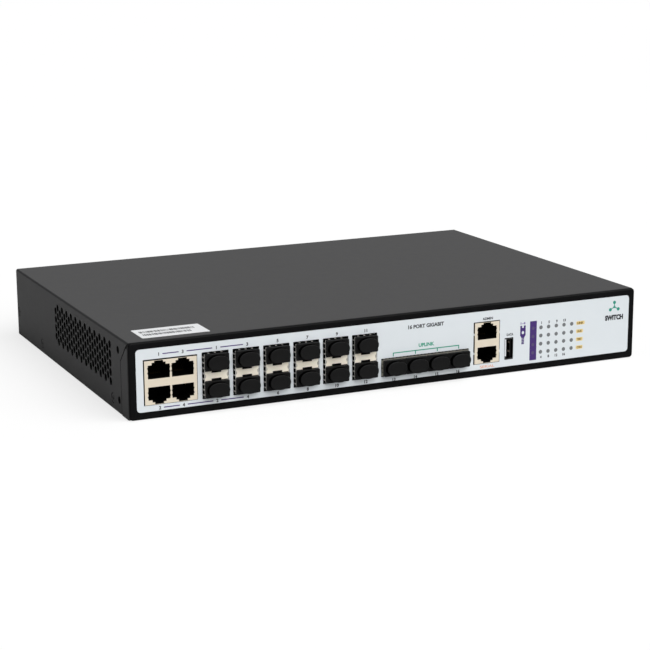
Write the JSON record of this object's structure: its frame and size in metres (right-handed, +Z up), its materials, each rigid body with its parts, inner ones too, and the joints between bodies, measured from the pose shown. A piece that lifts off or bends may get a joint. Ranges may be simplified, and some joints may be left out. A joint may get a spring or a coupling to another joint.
{
  "type": "rackmount network switch",
  "caption": "Half-width one-unit rackmount network switch: steel tray and cover, black bezel with white overlay, RJ45 and fibre cages, removable dust plugs, side vents and fans.",
  "frame": {"origin": "centre of the casing's underside, in the plane that it rests on", "axes": "+X to the right seen from the front panel, +Y from the front panel towards the rear, +Z up"},
  "size_m": [0.33, 0.2367, 0.0441],
  "materials": {
    "case_paint": "fine-textured dark grey powder coat",
    "bezel_plastic": "near-black satin moulded plastic",
    "overlay_film": "cool white printed polycarbonate film",
    "label_film": "white coated label",
    "plug_rubber": "matt black elastomer",
    "cream_plastic": "cream connector plastic",
    "cage_steel": "bright tin-plated sheet steel",
    "black_plastic": "black moulded connector plastic",
    "light_pipe": "clear light-pipe plastic",
    "board_laminate": "green solder resist on laminate",
    "chip_package": "dark moulded package",
    "heatsink_metal": "natural extruded aluminium",
    "winding_tape": "amber tape over a ferrite core",
    "capacitor_sleeve": "shrunk dark blue sleeve",
    "fan_plastic": "black glass-filled plastic"
  },
  "bodies": {
    "casing": {"chassis_tray": "case_paint", "top_cover": "case_paint", "front_bezel": "bezel_plastic", "front_overlay": "overlay_film", "serial_label": "label_film", "screw_left_front": "case_paint", "screw_left_middle": "case_paint", "screw_left_rear": "case_paint", "screw_right_front": "case_paint", "screw_right_middle": "case_paint", "screw_right_rear": "case_paint", "rj45_quad_housing": "cream_plastic", "rj45_quad_shield": "cage_steel", "rj45_dual_housing": "cream_plastic", "rj45_dual_shield": "cage_steel", "usb_shell": "cage_steel", "usb_tongue": "black_plastic", "sfp_cage_1": "cage_steel", "sfp_divider_1": "cream_plastic", "sfp_cage_2": "cage_steel", "sfp_divider_2": "cream_plastic", "sfp_cage_3": "cage_steel", "sfp_divider_3": "cream_plastic", "sfp_cage_4": "cage_steel", "sfp_divider_4": "cream_plastic", "sfp_cage_5": "cage_steel", "sfp_divider_5": "cream_plastic", "sfp_cage_6": "cage_steel", "sfp_divider_6": "cream_plastic", "sfp_plus_cage": "cage_steel", "led_light_pipe": "light_pipe", "main_board": "board_laminate", "switch_chip": "chip_package", "chip_heatsink": "heatsink_metal", "psu_board": "board_laminate", "psu_transformer": "winding_tape", "psu_capacitor": "capacitor_sleeve", "psu_heatsink": "heatsink_metal", "ac_inlet": "black_plastic", "rps_connector": "black_plastic", "fan_frame_1": "fan_plastic", "fan_frame_2": "fan_plastic"},
    "plug_1": {"dust_plug_1": "plug_rubber"},
    "plug_2": {"dust_plug_2": "plug_rubber"},
    "plug_3": {"dust_plug_3": "plug_rubber"},
    "plug_4": {"dust_plug_4": "plug_rubber"},
    "plug_5": {"dust_plug_5": "plug_rubber"},
    "plug_6": {"dust_plug_6": "plug_rubber"},
    "plug_7": {"dust_plug_7": "plug_rubber"},
    "plug_8": {"dust_plug_8": "plug_rubber"},
    "plug_9": {"dust_plug_9": "plug_rubber"},
    "plug_10": {"dust_plug_10": "plug_rubber"},
    "plug_11": {"dust_plug_11": "plug_rubber"},
    "plug_12": {"dust_plug_12": "plug_rubber"},
    "plug_13": {"dust_plug_13": "plug_rubber"},
    "plug_14": {"dust_plug_14": "plug_rubber"},
    "plug_15": {"dust_plug_15": "plug_rubber"},
    "plug_16": {"dust_plug_16": "plug_rubber"},
    "fan_1": {"fan_rotor_1": "fan_plastic"},
    "fan_2": {"fan_rotor_2": "fan_plastic"}
  },
  "joints": [
    {"name": "plug_1_pull", "type": "slide", "parent": "casing", "child": "plug_1", "axis": [0, -1, 0], "range_m": [0, 0.025]},
    {"name": "plug_2_pull", "type": "slide", "parent": "casing", "child": "plug_2", "axis": [0, -1, 0], "range_m": [0, 0.025]},
    {"name": "plug_3_pull", "type": "slide", "parent": "casing", "child": "plug_3", "axis": [0, -1, 0], "range_m": [0, 0.025]},
    {"name": "plug_4_pull", "type": "slide", "parent": "casing", "child": "plug_4", "axis": [0, -1, 0], "range_m": [0, 0.025]},
    {"name": "plug_5_pull", "type": "slide", "parent": "casing", "child": "plug_5", "axis": [0, -1, 0], "range_m": [0, 0.025]},
    {"name": "plug_6_pull", "type": "slide", "parent": "casing", "child": "plug_6", "axis": [0, -1, 0], "range_m": [0, 0.025]},
    {"name": "plug_7_pull", "type": "slide", "parent": "casing", "child": "plug_7", "axis": [0, -1, 0], "range_m": [0, 0.025]},
    {"name": "plug_8_pull", "type": "slide", "parent": "casing", "child": "plug_8", "axis": [0, -1, 0], "range_m": [0, 0.025]},
    {"name": "plug_9_pull", "type": "slide", "parent": "casing", "child": "plug_9", "axis": [0, -1, 0], "range_m": [0, 0.025]},
    {"name": "plug_10_pull", "type": "slide", "parent": "casing", "child": "plug_10", "axis": [0, -1, 0], "range_m": [0, 0.025]},
    {"name": "plug_11_pull", "type": "slide", "parent": "casing", "child": "plug_11", "axis": [0, -1, 0], "range_m": [0, 0.025]},
    {"name": "plug_12_pull", "type": "slide", "parent": "casing", "child": "plug_12", "axis": [0, -1, 0], "range_m": [0, 0.025]},
    {"name": "plug_13_pull", "type": "slide", "parent": "casing", "child": "plug_13", "axis": [0, -1, 0], "range_m": [0, 0.025]},
    {"name": "plug_14_pull", "type": "slide", "parent": "casing", "child": "plug_14", "axis": [0, -1, 0], "range_m": [0, 0.025]},
    {"name": "plug_15_pull", "type": "slide", "parent": "casing", "child": "plug_15", "axis": [0, -1, 0], "range_m": [0, 0.025]},
    {"name": "plug_16_pull", "type": "slide", "parent": "casing", "child": "plug_16", "axis": [0, -1, 0], "range_m": [0, 0.025]},
    {"name": "fan_1_spin", "type": "hinge", "parent": "casing", "child": "fan_1", "pos_m": [0.151, -0.058, 0.0216], "axis": [1, 0, 0], "continuous": true},
    {"name": "fan_2_spin", "type": "hinge", "parent": "casing", "child": "fan_2", "pos_m": [0.151, -0.01, 0.0216], "axis": [1, 0, 0], "continuous": true}
  ]
}
